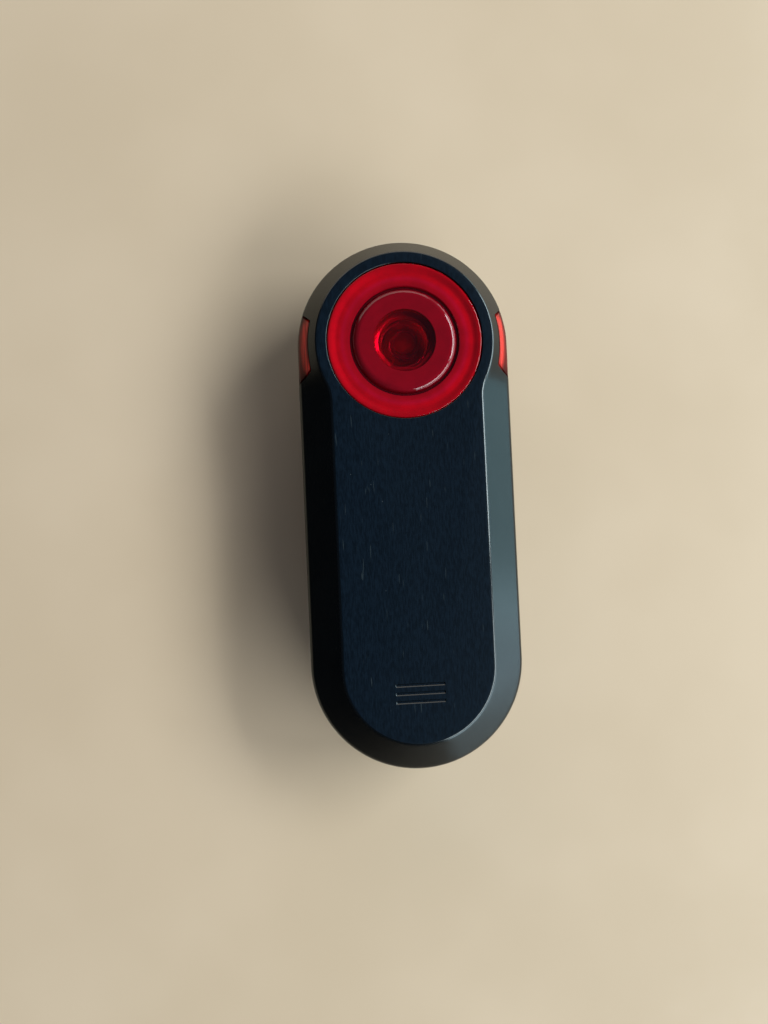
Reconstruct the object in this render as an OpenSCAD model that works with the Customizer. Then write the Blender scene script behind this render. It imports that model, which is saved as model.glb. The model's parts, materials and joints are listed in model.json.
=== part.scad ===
// Bicycle rear light with a flat front panel and a round lens, lying on its back.
// Millimetres. +Z points out of the front panel and +Y towards the lens end.
// The origin is the centre of the quarter-turn mount's end face.

/* [Housing] */
// Length of the housing
body_l = 98.6; // [94:0.2:110]
// Depth of the housing, from its back face to its front panel
body_h = 15.7; // [15.4:0.1:18]
// Wall thickness of both shells
wall = 1.6; // [1.5:0.05:1.8]
// Height of the rear shell, which is also the radius of its rounded edge
rear_h = 5; // [4.6:0.1:5.2]
// Width of the flat ring round the lens
ring_w = 2.1; // [2:0.1:3]
// Run of the slope from the ring out to the flank, seen from the front
slope_run = 3.7; // [3.5:0.1:5]
// Step in from the ring to the straight edge of the panel
neck_step = 2.5; // [1.8:0.1:2.8]
// Radius of the hollow blend between ring and panel
neck_r = 7.8; // [6:0.2:12]
// Depth below the panel at which the slope, run on straight, would meet the flank
shoulder_drop = 4.4; // [4.1:0.1:4.6]
// Part of the slope's run that is straight, before it rounds to the flank
bevel_part = 0.75; // [0.65:0.05:0.85]
// Height of the upright flank above the seam
flank_h = 4.2; // [3.8:0.1:4.4]
// Rounding of the panel's edge
edge_r = 0.25; // [0.2:0.05:0.5]
// Clearance round a piece that sits in an opening
gap = 0.15; // [0.1:0.01:0.2]

/* [Lens and side windows] */
// Diameter of the lens
lens_d = 28; // [26.5:0.1:30]
// Depth of the lens rim below the panel, which is also the rise of the lens centre above its rim
lens_recess = 0.9; // [0.7:0.05:1]
// Thickness of the lens
lens_t = 1.5; // [1.3:0.05:1.6]
// Diameter of the raised centre at its foot
puck_d = 19.2; // [18:0.2:21]
// Width of the hidden flange that holds the lens
flange_w = 0.9; // [0.7:0.05:1]
// Thickness of that flange
flange_t = 1; // [0.8:0.05:1.2]
// Thickness of the seal above the flange
lens_seal_t = 0.5; // [0.4:0.05:0.6]
// Length of a side window at its foot
window_foot = 18.2; // [16:0.2:19]
// Length of a side window at its top
window_top = 9.2; // [8:0.2:10]
// Depth of the side window's top edge below the panel
window_drop = 1.7; // [1.6:0.1:2.4]

/* [Light unit] */
// Inner diameter of the cup round the central optic
cup_d = 11.2; // [10:0.2:12]
// Thickness of the LED board
led_board_t = 1.2; // [1:0.05:1.3]
// Number of LEDs round the bowl
ring_led_count = 8; // [6:1:10]

/* [Power key] */
// Width of the key
key_w = 9; // [8:0.2:10]
// Height of the key
key_h = 3.4; // [3.1:0.1:3.5]
// Height of the key's lower edge above the seam
key_sill = 1.05; // [0.9:0.05:1.2]
// Travel of the key
key_travel = 0.35; // [0.25:0.05:0.45]
// Diameter of the key's stem
stem_d = 3; // [2.8:0.05:3.1]

/* [Boards and battery] */
// Width of the main board
main_board_w = 25; // [23:0.2:25.4]
// Width of the radar board
radar_board_w = 22; // [21.5:0.1:23]
// Thickness of both boards
board_t = 0.9; // [0.8:0.05:1]
// Height of the spacers between the boards
spacer_h = 2.4; // [2.2:0.05:2.6]
// Gap between the panel and the radar board
radar_gap = 0.9; // [0.7:0.05:1]
// Width of the battery
battery_w = 28; // [24:0.5:29]

/* [Charging port] */
// Distance of the port's centre from the tail end
port_inset = 15.3; // [14.8:0.1:16]
// Width of the port cap
cap_w = 16; // [14:0.2:16.4]
// Length of the port cap from its hinge to its free end
cap_l = 9; // [8.6:0.1:9.4]
// Thickness of the port cap
cap_t = 1.1; // [0.9:0.05:1.2]

/* [Quarter-turn mount] */
// Height of the mount below the back face
mount_h = 4; // [3.6:0.1:4.5]
// Diameter of the mount's boss
mount_d = 25.5; // [24.5:0.1:26]
// Span across the two tabs
tab_span = 30.6; // [30:0.1:31.5]
// Width of a tab
tab_w = 12.5; // [10:0.5:14]
// Thickness of a tab
tab_t = 1.9; // [1.6:0.05:2]

/* [Screws] */
// Shaft diameter of the housing, mount and board screws
screw_d = 1.6; // [1.4:0.05:1.7]
// Head diameter of those screws
head_d = 3.1; // [2.8:0.05:3.2]
// Head height of all screws
head_h = 0.9; // [0.8:0.05:1]
// Shaft diameter of the small screws on the LED board
small_screw_d = 1.3; // [1.2:0.05:1.4]

/* [Hidden] */
$fn = 96;

black_shell = "#1b232c";
black_rubber = "#23262a";
red_lens = "#c01020";
board_green = "#1e5a3a";
chip_black = "#26282c";
steel = "#b8bcc2";
white_plastic = "#e8e6e0";
clear_plastic = "#dfe6ea";
copper = "#c98f4a";
led_yellow = "#f0d870";

// Clearances: faces that nearly touch, shafts, threads, plain holes, screw heads and inner pieces
touch_gap = 0.1;
slide_gap = 0.05;
thread_gap = 0.05;
hole_gap = 0.15;
head_gap = 0.2;
fit_gap = 0.3;
board_gap = 0.5;
// Run of a cutting shape past the face that it opens
cut = 1;

// Outline of the housing seen from the front
ring_r = lens_d / 2 + ring_w;
half_w = ring_r + slope_run;
panel_hw = ring_r - neck_step;
lens_y = body_l / 2 - half_w;
tail_y = -lens_y;
span = lens_y - tail_y;
flat_hw = half_w - rear_h;

// Heights of the housing
back_z = mount_h;
floor_z = back_z + wall;
seam_z = back_z + rear_h;
front_z = back_z + body_h;
under_z = front_z - wall;
shoulder_z = front_z - shoulder_drop;
flank_z = seam_z + flank_h;
cavity_shoulder_z = shoulder_z - wall / 2;
cavity_ring_r = ring_r - wall / 2;
cavity_half_w = half_w - wall;
groove_w = 0.7;
groove_d = 0.8;

// Lens, from the panel down
lens_r = lens_d / 2;
rim_z = front_z - lens_recess;
lens_under_z = rim_z - lens_t;
puck_under_z = front_z - lens_t;
flange_r = lens_r + flange_w;
flange_top_z = under_z - lens_seal_t;
flange_z = flange_top_z - flange_t;
puck_draft = 0.35;
puck_round = 0.4;
lens_bevel = 0.35;
lens_swell = 0.3;
lens_skirt = 0.6;
groove_dip = 0.1;

// Plain bars sunk in the panel near the tail
bar_count = 3;
bar_l = 9;
bar_w = 0.6;
bar_pitch = 1.5;
bar_depth = 0.12;
bars_y = tail_y - bar_l / 2;

// Side windows
window_sill = 3;
window_round = 0.7;

// Switch and LED board, from the seam up
switch_w = 4.7;
switch_l = 3.5;
switch_h = 1.7;
key_z = seam_z + key_sill + key_h / 2;
led_under_z = key_z + switch_h / 2;
led_top_z = led_under_z + led_board_t;

// Reflector between the LED board and the lens, with the central optic on its cup
reflector_inset = 0.4;
reflector_r = lens_r - reflector_inset;
reflector_lip_t = 1;
reflector_wall = 0.7;
reflector_floor = 0.6;
bowl_slant = 2;
cup_r = cup_d / 2;
cup_wall = 0.6;
optic_lip_t = 0.5;
cup_top_z = puck_under_z - touch_gap - optic_lip_t;
led_hole_r = 1.3;
ring_led_dist = (cup_r + cup_wall + reflector_r - reflector_wall - bowl_slant) / 2;

// LEDs
led_base = 3;
led_base_h = 0.7;
led_dome_r = 1.3;

// Optic over the main LED; heights are parts of its rise from the LED to the cup's rim
pocket_r = 1.9;
pocket_part = 0.53;
eye_r = 2;
eye_part = 0.77;
eye_crown = 0.14;

// Small LEDs
small_led = [1.6, 1.2, 0.7];
side_led = [1.2, 2, 0.8];

// LED board and its fixings: distance and bearing from the lens centre
ear_angle = 50;
led_board_r = reflector_r + fit_gap;
small_head_d = 2.4;
ear_r = 1.3;
post_r = 1.4;
ear_dist = cavity_r(led_top_z) - fit_gap - ear_r;
tail_ear_dist = flange_r + post_r + fit_gap;
led_fixings = [[ear_dist, ear_angle], [ear_dist, 180 - ear_angle], [tail_ear_dist, 270]];
post_top_z = flange_z - reflector_lip_t - touch_gap;
side_tab_w = 4;
side_tab_gap = 1.2;
side_tab_r = cavity_r(led_top_z) - side_tab_gap;

// Power key in the end wall
key_recess = 1.9;
key_proud = 0.12;
key_stop_gap = 0.25;
key_block_t = 1.5;
key_block_rim = 0.9;
pocket_y = lens_y + outer_r(key_z) - key_recess;
key_head_y = pocket_y + key_travel + key_stop_gap;
key_block_y = pocket_y - key_block_t;
stem_r = stem_d / 2;
stem_bore_r = stem_r + slide_gap;
stem_tail = 1.4;
stem_end_y = key_block_y - stem_tail;
stem_joint = 0.4;
clip_t = 0.4;
clip_rim = 0.8;
clip_bite = 0.3;
clip_y = key_block_y - touch_gap - clip_t;
seal_ring_d = 0.66;
seal_groove = 0.8;
seal_ring_y = (key_block_y + pocket_y) / 2;
switch_front_y = lens_y + led_board_r - touch_gap;
plunger_r = 0.6;
plunger_depth = 1;

// Status lamp beside the key
pipe_r = 0.75;
pipe_offset = 2.9;
pipe_x = key_w / 2 + pipe_offset;
pipe_end_y = lens_y + sqrt(pow(led_board_r, 2) - pow(pipe_x, 2));
status_led_size = [1.6, 0.8, 0.8];

// Boards, from the panel down
screw_r = screw_d / 2;
hole_r = screw_r + hole_gap;
pilot_r = screw_r + thread_gap;
head_r = head_d / 2;
screw_slot = 0.4;
spacer_r = 1.9;
spacer_edge = 0.2;
radar_top_z = under_z - radar_gap;
radar_z = radar_top_z - board_t;
main_top_z = radar_z - spacer_h;
main_z = main_top_z - board_t;
tail_post_y = lens_y - tail_ear_dist;
boards_end_y = tail_post_y - post_r - board_gap;
radar_tail = 1.5;
radar_start_y = tail_y - radar_tail;
board_screw_inset = 2.5;
board_screw_x = radar_board_w / 2 - spacer_r - spacer_edge;
board_screw_ys = [radar_start_y + board_screw_inset, boards_end_y - board_screw_inset];
board_screw_xys = [for (x = [-board_screw_x, board_screw_x], y = board_screw_ys) [x, y]];
panel_skin = 0.7;
board_pilot_top_z = front_z - panel_skin;

// Pieces on the boards
patch = 3.2;
patch_t = 0.1;
patch_pitch = 5.2;
patch_count = 6;
patch_row_x = 3.4;
connector_w = 10;
connector_l = 3;
connector_gap = 1.5;
connector_end_y = board_screw_ys[1] - spacer_r - connector_gap;
chip_h = 0.6;
chip_l = 6;
tall_chip_h = 1.1;
shield_w = 14;
shield_l = 16;
shield_skin = 0.25;
shield_h = spacer_h - chip_h - 2 * touch_gap;
shield_end_y = connector_end_y - connector_l - connector_gap;
shield_y = shield_end_y - shield_l / 2;
radar_chip_w = 8;
radar_chip_h = 0.9;
flex_x = 2.2;
flex_w = 4;
flex_t = 0.2;
flex_pad = 3;

// Battery between its foam pad and the main board
mount_pad_t = 1.2;
pad_top_z = floor_z + mount_pad_t;
foam_t = 0.3;
foam_w = 18;
foam_l = 13.5;
battery_z = pad_top_z + foam_t;
battery_gap = 0.9;
battery_top_z = main_z - battery_gap;
battery_end_gap = 0.8;
battery_start_y = board_screw_ys[0] + head_r + battery_end_gap;
battery_end_y = board_screw_ys[1] - head_r - battery_end_gap;
battery_round = 1.5;
rib_t = 1.2;
battery_tab_w = 3;
battery_tab_t = 0.2;
battery_tab_x = 4;
battery_tab_drop = 2;

// Screws that join the shells
boss_r = 2.2;
boss_edge = 0.4;
bore_head_r = head_r + head_gap;
head_sink = 0.4;
head_seat_z = back_z + head_sink + head_h;
neck_boss = [flat_hw - bore_head_r - boss_edge, lens_y - led_board_r - boss_r - side_tab_gap];
tail_boss_dist = flat_hw - bore_head_r - boss_edge;
tail_boss_angle = 26;
tail_boss = [tail_boss_dist * cos(tail_boss_angle), tail_y - tail_boss_dist * sin(tail_boss_angle)];
boss_xys = [for (side = [-1, 1], p = [neck_boss, tail_boss]) [side * p[0], p[1]]];
boss_bite = 4.5;

// Mount fixed to the back
mount_r = mount_d / 2;
spigot_r = 6;
spigot_h = 0.8;
tab_chamfer = 0.4;
mount_screw_dist = (spigot_r + mount_r) / 2;
mount_screw_xys = [for (a = [45:90:315]) mount_screw_dist * [cos(a), sin(a)]];
mount_pad_r = mount_screw_dist + pilot_r + boss_r;
mount_seat_z = head_sink + head_h;
mount_bite_z = pad_top_z - 2 * fit_gap;

// Charging port and its cap
port_y = port_inset - body_l / 2;
usb_w = 7.8;
usb_t = 3;
usb_shell = 0.3;
usb_tongue_w = 4;
usb_tongue_t = 0.7;
plug_w = 8.6;
plug_l = 4;
plug_h = 1;
plug_gap = 0.4;
plug_room = 0.7;
cap_gap = 0.2;
cap_round = 1.4;
hinge_offset = 0.3;
hinge_y = port_y + cap_l / 2 + hinge_offset;
hinge_bead_r = 0.45;
hinge_bead_l = 10;
notch_r = 2.5;
notch_d = 0.6;
cap_roof_z = back_z + cap_t + touch_gap;
port_block_z = cap_roof_z + plug_h + plug_room;
port_block_rim = 1.4;
usb_mouth_z = port_block_z + touch_gap;
anchor_l = 2;
anchor_y = hinge_y + hinge_bead_r + touch_gap;
anchor_end_y = anchor_y + anchor_l;
anchor_pin_r = 0.7;
anchor_pin_h = 1.2;
anchor_pin_xys = [for (side = [-1, 1]) [side * cap_w / 4, (anchor_y + anchor_end_y) / 2]];

// Outlines of the panel and the flank, with matching points from the lens end round to the tail
arc_steps = 24;
neck_d = sqrt(pow(ring_r + neck_r, 2) - pow(panel_hw + neck_r, 2));
ring_end = neck_d * ring_r / (ring_r + neck_r);
side_steps = concat(
  [for (i = [1:3]) ring_end * i / 3],
  [for (i = [1:5]) ring_end + (neck_d - ring_end) * i / 5],
  [for (i = [1:3]) neck_d + (span - neck_d) * i / 4]);
last_step = len(side_steps) - 1;

function half_circle(y, r, start) =
  [for (i = [0:arc_steps]) let(a = start + 180 * i / arc_steps) [r * cos(a), y + r * sin(a)]];

// Half-width of the panel at distance d below the lens centre
function panel_x(d, inset) =
  d < neck_d * (ring_r - inset) / (ring_r + neck_r) ? sqrt(pow(ring_r - inset, 2) - d * d)
  : d < neck_d ? panel_hw + neck_r - sqrt(pow(neck_r + inset, 2) - pow(neck_d - d, 2))
  : panel_hw - inset;

function panel_outline(inset) = concat(
  half_circle(lens_y, ring_r - inset, 0),
  [for (d = side_steps) [-panel_x(d, inset), lens_y - d]],
  half_circle(tail_y, panel_hw - inset, 180),
  [for (i = [last_step:-1:0]) [panel_x(side_steps[i], inset), lens_y - side_steps[i]]]);

function flank_outline(inset) = concat(
  half_circle(lens_y, half_w - inset, 0),
  [for (d = side_steps) [inset - half_w, lens_y - d]],
  half_circle(tail_y, half_w - inset, 180),
  [for (i = [last_step:-1:0]) [half_w - inset, lens_y - side_steps[i]]]);

// The slope runs straight from top towards mid, then a parabola rounds it to the upright flank at low;
// t runs along the round, from its start, at 0, to the flank, at 1
function bevel_z(top, mid) = top + bevel_part * (mid - top);
function round_out(t) = bevel_part + (1 - bevel_part) * (2 * t - t * t);
function round_z(t, top, mid, low) =
  (1 - t) * (1 - t) * bevel_z(top, mid) + 2 * t * (1 - t) * mid + t * t * low;
function round_t(z, top, mid, low) =
  let(high = bevel_z(top, mid), a = high - 2 * mid + low, b = 2 * (high - mid), c = high - max(z, low))
    2 * c / (b + sqrt(b * b - 4 * a * c));
function slope_out(z, top, mid, low) =
  z > bevel_z(top, mid) ? (top - z) / (top - mid) : round_out(round_t(z, top, mid, low));

// Radius of the outer surface and of the cavity about the lens axis at a height
function outer_r(z) = ring_r + slope_run * slope_out(z, front_z, shoulder_z, flank_z);
function cavity_r(z) = cavity_ring_r
  + (cavity_half_w - cavity_ring_r) * slope_out(z, under_z, cavity_shoulder_z, flank_z);

function between(a, b, part, z) = [for (i = [0:len(a) - 1]) concat(a[i] + part * (b[i] - a[i]), z)];

// Solid skinned over rings of points, highest ring first, mirror-symmetric left to right
module skin(rings) {
  n = len(rings[0]);
  low = (len(rings) - 1) * n;
  function twin(i) = (arc_steps - i + n) % n;
  crown = arc_steps / 2;
  strip = [for (i = [crown:crown + n / 2 - 1]) i];
  top_faces = concat(
    [for (i = strip) if (twin(i + 1) != i + 1) [twin(i + 1), i + 1, i]],
    [for (i = strip) if (twin(i) != i) [twin(i), twin(i + 1), i]]);
  low_faces = [for (f = top_faces) [low + f[2], low + f[1], low + f[0]]];
  side_faces = [for (k = [0:len(rings) - 2], i = [0:n - 1])
    let(a = k * n + i, b = k * n + (i + 1) % n) each [[a, b, b + n], [a, b + n, a + n]]];
  polyhedron(points = [for (r = rings) each r], faces = concat(top_faces, low_faces, side_faces));
}

// Outer form of the front shell, closed at the seam
module outer_form(inset = 0) {
  round_steps = 6;
  panel = panel_outline(inset);
  flank = flank_outline(inset);
  skin(concat(
    [between(panel_outline(inset + edge_r), flank, 0, front_z)],
    [between(panel_outline(inset + edge_r / 3), flank, 0, front_z - edge_r / 8)],
    [between(panel, flank, edge_r / shoulder_drop, front_z - edge_r)],
    [for (i = [0:round_steps]) let(t = i / round_steps)
      between(panel, flank, round_out(t), round_z(t, front_z, shoulder_z, flank_z))],
    [between(panel, flank, 1, seam_z)]));
}

// Hollow of the front shell, run on below the seam
module cavity_form() {
  round_steps = 5;
  panel = panel_outline(wall / 2);
  flank = flank_outline(wall);
  skin(concat(
    [between(panel, flank, 0, under_z)],
    [for (i = [0:round_steps]) let(t = i / round_steps)
      between(panel, flank, round_out(t), round_z(t, under_z, cavity_shoulder_z, flank_z))],
    [between(panel, flank, 1, seam_z - cut)]));
}

// Profile carried round the stadium outline of the housing
module stadium_sweep() {
  translate([0, lens_y, 0]) rotate_extrude(angle = 180) children();
  translate([0, tail_y, 0]) rotate([0, 0, 180]) rotate_extrude(angle = 180) children();
  translate([0, lens_y, 0]) rotate([90, 0, 0]) linear_extrude(span) {
    children();
    mirror([1, 0]) children();
  }
}

// Half section of a tray whose lower edge is rounded
module tray_section(r, low, high, edge) {
  translate([0, low]) square([r - edge, edge]);
  translate([r - edge, low + edge]) intersection() {
    circle(edge);
    translate([0, -edge]) square(edge);
  }
  if (high > low + edge) translate([0, low + edge]) square([r, high - low - edge]);
}

// Half section of the groove in the rear shell's rim, or of the seal that fills it
module groove_section(w, top) {
  translate([half_w - wall / 2 - w / 2, seam_z - groove_d]) square([w, groove_d + top]);
}

// Outline with its corners rounded to radius r
function unit(v) = v / norm(v);
function rounded(pts, r, steps = 5) = [for (i = [0:len(pts) - 1])
  let(
    p = pts[i],
    u = unit(pts[(i + len(pts) - 1) % len(pts)] - p),
    v = unit(pts[(i + 1) % len(pts)] - p),
    half = acos(u * v) / 2,
    c = p + unit(u + v) * r / sin(half),
    start = atan2(p[1] + u[1] * r / tan(half) - c[1], p[0] + u[0] * r / tan(half) - c[0]),
    turn = (u[0] * v[1] - u[1] * v[0] > 0 ? -1 : 1) * (180 - 2 * half))
  for (k = [0:steps]) c + r * [cos(start + turn * k / steps), sin(start + turn * k / steps)]];

// Points on a circle from one angle to another
function arc(c, r, from, to, steps = 6) =
  [for (i = [0:steps]) let(a = from + (to - from) * i / steps) c + r * [cos(a), sin(a)]];

module rounded_plate(w, l, h, r) {
  x = w / 2;
  y = l / 2;
  linear_extrude(h) polygon(rounded([[-x, -y], [x, -y], [x, y], [-x, y]], r));
}

module box(x0, x1, y0, y1, z0, z1) {
  translate([x0, y0, z0]) cube([x1 - x0, y1 - y0, z1 - z0]);
}

// Block centred on a point in plan, standing on z
module block(size, x, y, z) {
  translate([x - size[0] / 2, y - size[1] / 2, z]) cube(size);
}

// Upright cylinder or hole at each point of a list
module posts(xys, r, z0, z1) {
  for (p = xys) translate([p[0], p[1], z0]) cylinder(r = r, h = z1 - z0);
}

// Cylinder along Y from y0 to y1
module rod_y(x, z, r, y0, y1) {
  translate([x, y0, z]) rotate([-90, 0, 0]) cylinder(r = r, h = y1 - y0);
}

// Groove round a rod along Y, down to radius r
module rod_groove(z, r, y, w) {
  difference() {
    rod_y(0, z, 2 * stem_r, y - w / 2, y + w / 2);
    rod_y(0, z, r, y - w, y + w);
  }
}

// Bar along Y with round ends left and right
module slot_y(z, w, h, y0, y1) {
  for (side = [-1, 1]) rod_y(side * (w - h) / 2, z, h / 2, y0, y1);
  box(-(w - h) / 2, (w - h) / 2, y0, y1, z - h / 2, z + h / 2);
}

// Screw standing on its slotted head
module screw(head, shaft, length) {
  difference() {
    union() {
      cylinder(d = head, h = head_h);
      cylinder(d = shaft, h = head_h + length);
    }
    translate([-head, -screw_slot / 2, -cut]) cube([2 * head, screw_slot, cut + head_h / 3]);
  }
}

module at_lens(z) {
  translate([0, lens_y, z]) children();
}

module at_polar(place) {
  rotate([0, 0, place[1]]) translate([place[0], 0, 0]) children();
}

// Places of the LEDs round the bowl
module at_ring_leds() {
  for (i = [1:ring_led_count]) at_polar([ring_led_dist, (i - 0.5) * 360 / ring_led_count]) children();
}

// Side window as a bar through the flank: a foot, slanted ends and a shorter top
module window_bar(side, inset) {
  foot_z = seam_z + window_sill + inset;
  top_z = front_z - window_drop - inset;
  foot = window_foot / 2 - inset;
  top = window_top / 2 - inset;
  translate([side > 0 ? flange_r : -half_w - cut, lens_y, 0])
    rotate([90, 0, 90])
      linear_extrude(half_w + cut - flange_r)
        polygon(rounded([[-foot, foot_z], [foot, foot_z], [top, top_z], [-top, top_z]], window_round));
}

// Cone about the lens axis that lies along the end wall at the key
module key_surface(proud) {
  low_z = key_z - key_h / 2;
  at_lens(low_z - gap)
    cylinder(r1 = outer_r(low_z) + proud, r2 = outer_r(low_z + key_h) + proud, h = key_h + 2 * gap);
}

// Material left standing inside the front shell
module front_supports() {
  posts(boss_xys, boss_r, seam_z - cut, front_z);
  posts(board_screw_xys, spacer_r, radar_top_z, front_z);
  at_lens(led_top_z) {
    for (place = [led_fixings[0], led_fixings[1]]) at_polar(place) {
      cylinder(r = post_r, h = post_top_z - led_top_z);
      translate([0, -post_r, 0]) cube([half_w - place[0], 2 * post_r, post_top_z - led_top_z]);
    }
    at_polar(led_fixings[2]) cylinder(r = post_r, h = front_z - led_top_z - wall / 2);
  }
  key_side = key_w / 2 + key_block_rim;
  box(-key_side, key_side, key_block_y, body_l / 2, seam_z - cut, key_z + key_h / 2 + key_block_rim);
}

module panel_bars() {
  for (i = [1:bar_count]) translate([0, bars_y + (i - (bar_count + 1) / 2) * bar_pitch, front_z - bar_depth])
    rounded_plate(bar_l, bar_w, bar_depth + cut, bar_w / 3);
}

module front_housing() {
  color(black_shell) difference() {
    outer_form();
    difference() {
      cavity_form();
      front_supports();
    }
    at_lens(under_z - touch_gap) cylinder(r = lens_r + gap, h = wall + cut);
    for (side = [-1, 1]) window_bar(side, 0);
    panel_bars();
    slot_y(key_z, key_w + 2 * gap, key_h + 2 * gap, pocket_y, body_l / 2 + cut);
    rod_y(0, key_z, stem_bore_r, key_block_y - cut, pocket_y + cut);
    rod_y(pipe_x, key_z, pipe_r + slide_gap, pipe_end_y, body_l / 2 + cut);
    posts(boss_xys, pilot_r, seam_z - cut, seam_z + boss_bite);
    posts(board_screw_xys, pilot_r, radar_top_z - cut / 2, board_pilot_top_z);
    at_lens(led_top_z - cut / 2) for (place = led_fixings) at_polar(place)
      cylinder(r = small_screw_d / 2 + thread_gap, h = post_top_z - led_top_z);
  }
}

// Material left standing inside the rear shell: bosses, mount pad, port block, ribs under the battery
module rear_supports() {
  posts(boss_xys, boss_r, back_z, seam_z);
  posts([[0, 0]], mount_pad_r, back_z, pad_top_z);
  block_side = cap_w / 2 + port_block_rim;
  block_y = hinge_y - cap_l - port_block_rim;
  block_end_y = anchor_end_y + port_block_rim;
  box(-block_side, block_side, block_y, block_end_y, back_z, port_block_z);
  for (part = [1, 2]) {
    y = battery_start_y + part / 3 * (-mount_pad_r - battery_start_y);
    box(-battery_w / 3, battery_w / 3, y - rib_t / 2, y + rib_t / 2, back_z, battery_z);
  }
}

// Recess for the cap and its anchor, the opening for the cap's plug, the anchor's holes and a finger notch
module port_cuts() {
  recess_w = cap_w + 2 * cap_gap;
  recess_start = hinge_y - cap_l - cap_gap;
  recess_end = anchor_end_y + cap_gap;
  translate([0, (recess_start + recess_end) / 2, back_z - cut])
    rounded_plate(recess_w, recess_end - recess_start, cap_roof_z - back_z + cut, cap_round);
  translate([0, port_y, back_z])
    rounded_plate(plug_w + 2 * plug_gap, plug_l + 2 * plug_gap, port_block_z - back_z + cut, cap_round);
  posts(anchor_pin_xys, anchor_pin_r + slide_gap, back_z, cap_roof_z + anchor_pin_h + touch_gap);
  posts([[0, recess_start]], notch_r, back_z - cut, back_z + notch_d);
}

module rear_housing() {
  color(black_shell) difference() {
    stadium_sweep() tray_section(half_w, back_z, seam_z, rear_h);
    difference() {
      stadium_sweep() tray_section(cavity_half_w, floor_z, seam_z + cut, rear_h - wall);
      rear_supports();
    }
    stadium_sweep() groove_section(groove_w, cut);
    posts(boss_xys, bore_head_r, back_z - cut, head_seat_z);
    posts(boss_xys, hole_r, back_z, seam_z + cut);
    posts([[0, 0]], spigot_r + slide_gap, back_z - cut, back_z + spigot_h + slide_gap);
    posts(mount_screw_xys, pilot_r, back_z - cut, mount_bite_z);
    port_cuts();
  }
}

module housing_gasket() {
  color(black_rubber) stadium_sweep() groove_section(groove_w - 2 * slide_gap, 0);
}

module housing_screws() {
  length = seam_z + boss_bite - fit_gap - head_seat_z;
  color(steel) for (p = boss_xys)
    translate([p[0], p[1], head_seat_z - head_h]) screw(head_d, screw_d, length);
}

module main_lens() {
  foot_r = puck_d / 2;
  shoulder_r = foot_r - puck_draft;
  brim_r = lens_r - lens_bevel;
  steps = 8;
  color(red_lens, 0.7) at_lens(0) rotate_extrude() polygon(concat(
    [[0, front_z]],
    arc([shoulder_r - puck_round, front_z - puck_round], puck_round, 90, 15),
    [[foot_r, rim_z - groove_dip]],
    [for (i = [1:steps]) let(s = i / steps)
      [foot_r + s * (brim_r - foot_r), rim_z - groove_dip * (1 - s) + lens_swell * sin(180 * s)]],
    [[lens_r, rim_z - lens_bevel], [lens_r, flange_top_z], [flange_r, flange_top_z], [flange_r, flange_z]],
    [[lens_r - lens_skirt, flange_z], [lens_r - lens_skirt, lens_under_z], [shoulder_r, lens_under_z]],
    [[shoulder_r - puck_draft, puck_under_z], [0, puck_under_z]]));
}

module lens_gasket() {
  color(black_rubber) at_lens(flange_top_z) difference() {
    cylinder(r = flange_r - slide_gap, h = lens_seal_t);
    translate([0, 0, -cut]) cylinder(r = lens_r + gap + slide_gap, h = lens_seal_t + 2 * cut);
  }
}

module side_lens(side) {
  color(red_lens, 0.8) intersection() {
    difference() {
      outer_form(slide_gap);
      cavity_form();
    }
    window_bar(side, gap);
  }
}

module side_lens_left() {
  side_lens(-1);
}

module side_lens_right() {
  side_lens(1);
}

module reflector() {
  lip_r = flange_r - fit_gap;
  lip_z = flange_z - reflector_lip_t;
  side_r = reflector_r - reflector_wall;
  floor_top_z = led_top_z + reflector_floor;
  color(white_plastic) at_lens(0) difference() {
    rotate_extrude() polygon([
      [cup_r, led_top_z], [reflector_r, led_top_z], [reflector_r, lip_z], [lip_r, lip_z], [lip_r, flange_z],
      [side_r, flange_z], [side_r, flange_z - reflector_lip_t / 2], [side_r - bowl_slant, floor_top_z],
      [cup_r + cup_wall, floor_top_z], [cup_r + cup_wall, cup_top_z], [cup_r, cup_top_z]]);
    translate([0, 0, led_top_z - cut]) at_ring_leds()
      cylinder(r = led_hole_r, h = cut + 2 * reflector_floor);
  }
}

// Central optic: a pocket over the main LED below, a hollow eye above and a lip that sits on the cup
module collimator_lens() {
  foot_z = led_top_z + led_base_h + touch_gap;
  rise = cup_top_z - foot_z;
  pocket_z = foot_z + pocket_part * rise;
  eye_z = foot_z + eye_part * rise;
  crown_z = eye_z + eye_crown * rise;
  top_z = cup_top_z + optic_lip_t;
  lip_r = cup_r + cup_wall - touch_gap;
  color(clear_plastic, 0.5) at_lens(0) rotate_extrude() polygon([
    [pocket_r, foot_z], [pocket_r + cup_wall, foot_z], [cup_r - fit_gap, cup_top_z], [lip_r, cup_top_z],
    [lip_r, top_z], [eye_r, top_z], [eye_r, eye_z], [eye_r / 2, (eye_z + 2 * crown_z) / 3], [0, crown_z],
    [0, pocket_z], [pocket_r, pocket_z]]);
}

module led_board() {
  color(white_plastic) at_lens(led_under_z) difference() {
    union() {
      cylinder(r = led_board_r, h = led_board_t);
      for (place = led_fixings) at_polar(place) {
        cylinder(r = ear_r, h = led_board_t);
        translate([-place[0] / 2, -ear_r, 0]) cube([place[0] / 2, 2 * ear_r, led_board_t]);
      }
      block([2 * side_tab_r, side_tab_w, led_board_t], 0, 0, 0);
    }
    for (place = led_fixings) at_polar(place)
      translate([0, 0, -cut]) cylinder(r = small_screw_d / 2 + touch_gap, h = led_board_t + 2 * cut);
  }
}

module led_board_screws() {
  color(steel) at_lens(led_under_z - head_h) for (place = led_fixings) at_polar(place)
    screw(small_head_d, small_screw_d, led_board_t + post_top_z - led_top_z - cut / 2 - touch_gap);
}

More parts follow.
